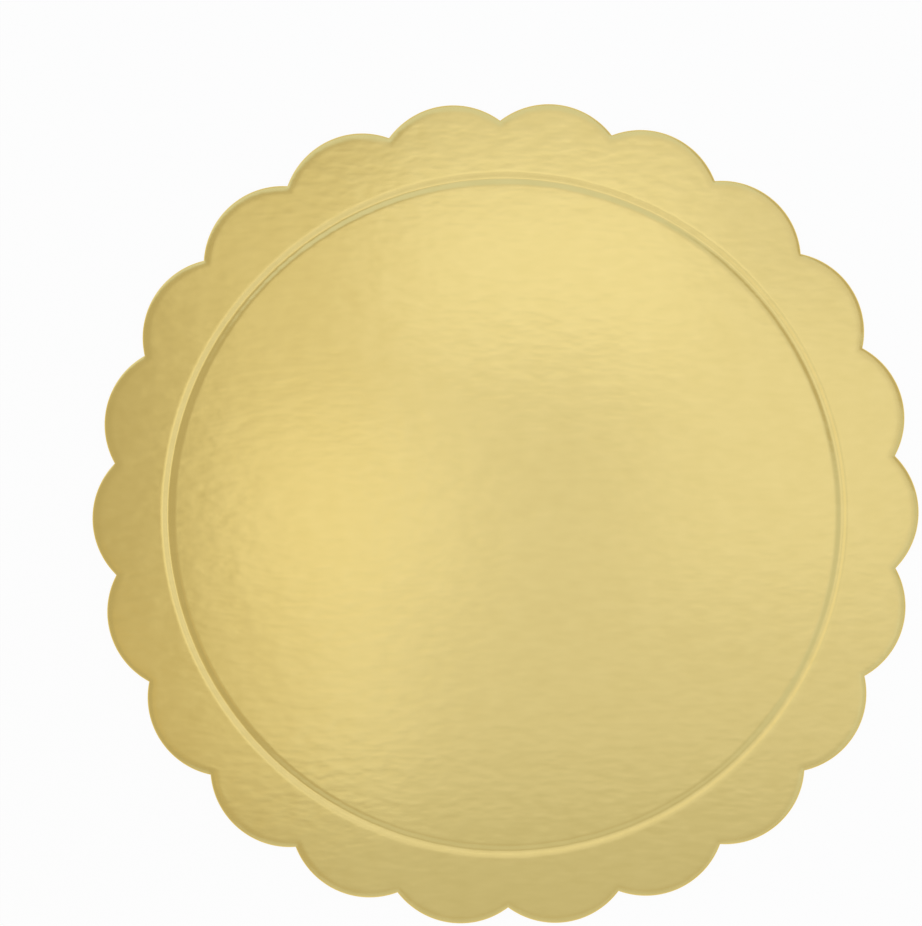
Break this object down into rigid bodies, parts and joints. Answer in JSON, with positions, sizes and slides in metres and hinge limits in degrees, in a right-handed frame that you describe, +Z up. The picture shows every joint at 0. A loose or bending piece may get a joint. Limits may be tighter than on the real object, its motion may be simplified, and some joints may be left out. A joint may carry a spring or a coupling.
{
  "type": "cake board",
  "caption": "Round flat cake board with a scalloped edge, a metal foil face and a shallow pressed ring groove that frames the place of the cake.",
  "frame": {"origin": "on the underside, at the middle of the disc", "axes": "+Z up out of the foil face, +X through the crest of a scallop, +Y through a notch between two scallops"},
  "size_m": [0.254, 0.2518, 0.002],
  "materials": {
    "foil_board": "satin gold foil laminated to solid paperboard"
  },
  "bodies": {
    "root": {"cake_board": "foil_board"}
  },
  "joints": []
}
